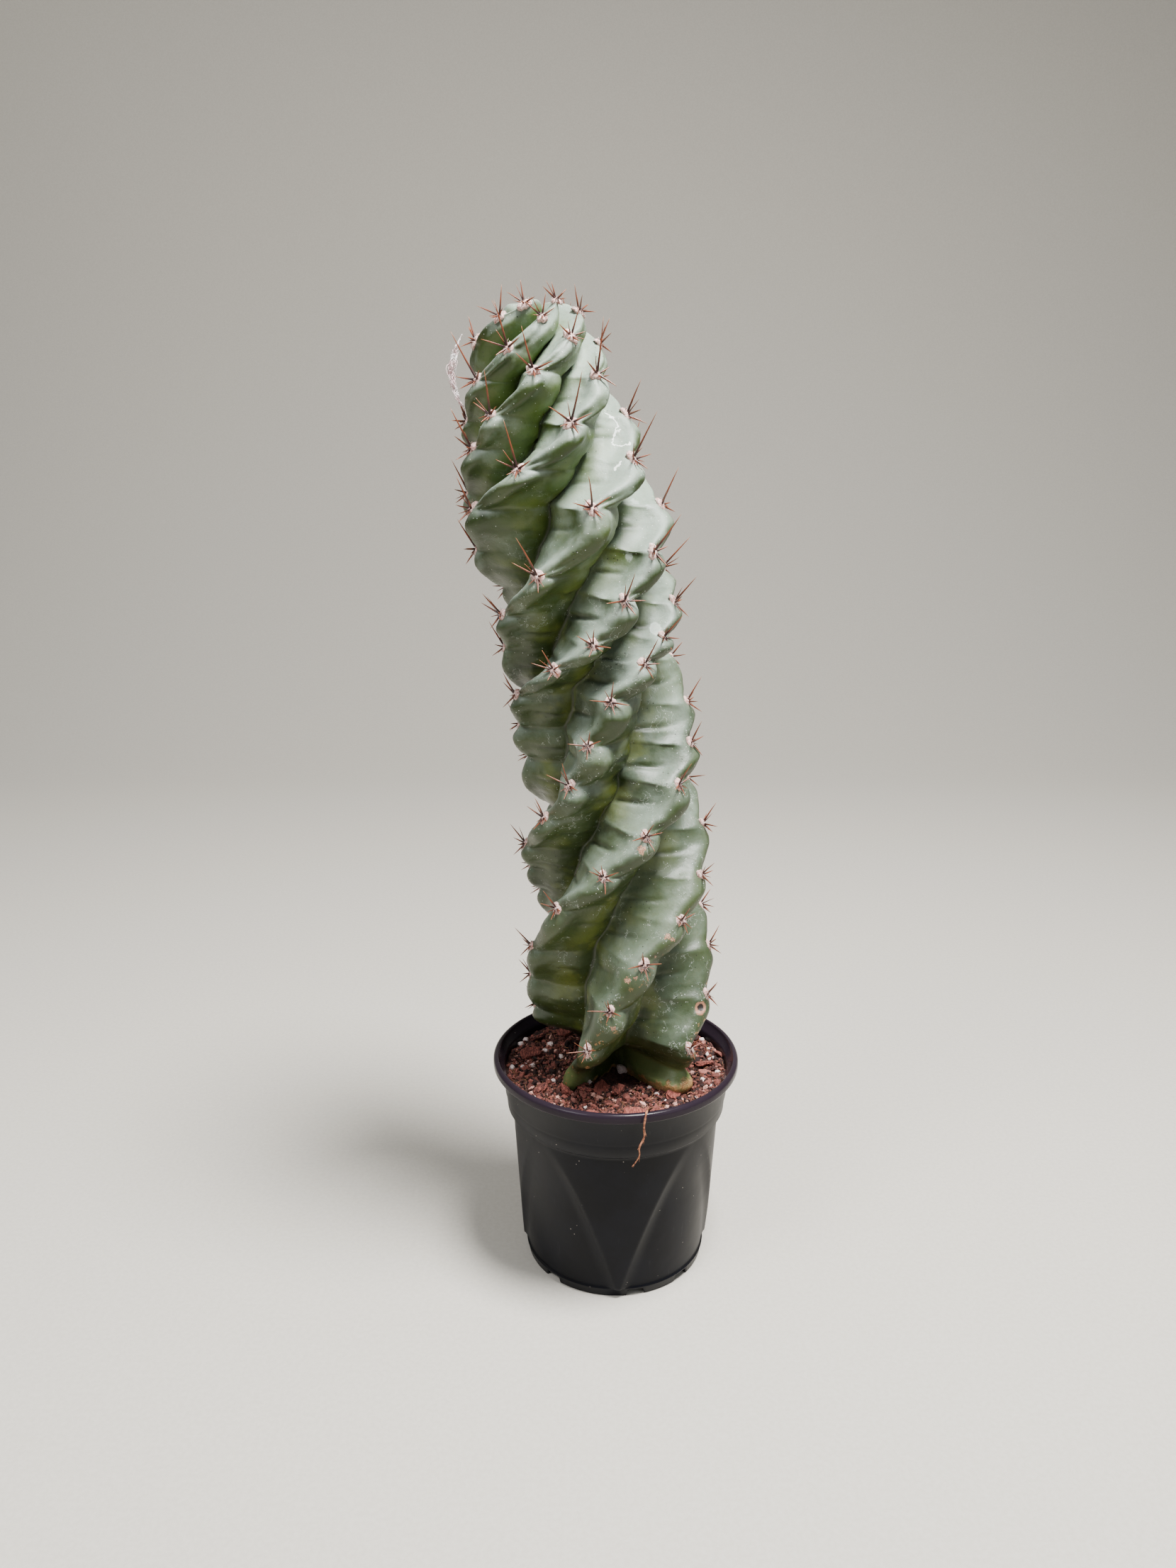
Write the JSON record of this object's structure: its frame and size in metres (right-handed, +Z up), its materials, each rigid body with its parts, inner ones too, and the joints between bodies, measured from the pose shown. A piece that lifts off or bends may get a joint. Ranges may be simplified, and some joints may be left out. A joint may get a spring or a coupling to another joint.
{
  "type": "potted spiral cactus",
  "caption": "Leaning column cactus with spiral ribs, felted areoles and thorny spines, growing in a round dark plastic nursery pot of bark and perlite mix.",
  "frame": {"origin": "on the ground under the middle of the whole plant's bounding box", "axes": "+Z up along the plant's height, -Y towards the front that the picture shows, +X to the right of that view"},
  "size_m": [0.1344, 0.1218, 0.4574],
  "materials": {
    "pot_plastic": "semi-matte near-black thermoformed plastic, glossier on the rolled rim",
    "soil": "dry reddish-brown coir and bark crumbs with white perlite grains",
    "stem_skin": "waxy grey-green skin with a pale bloom, cream felt areoles and orange-brown spines",
    "root_bark": "dry fibrous tan-brown root"
  },
  "bodies": {
    "root": {"pot": "pot_plastic", "potting_soil": "soil", "cactus_stem": "stem_skin", "loose_root": "root_bark"}
  },
  "joints": []
}
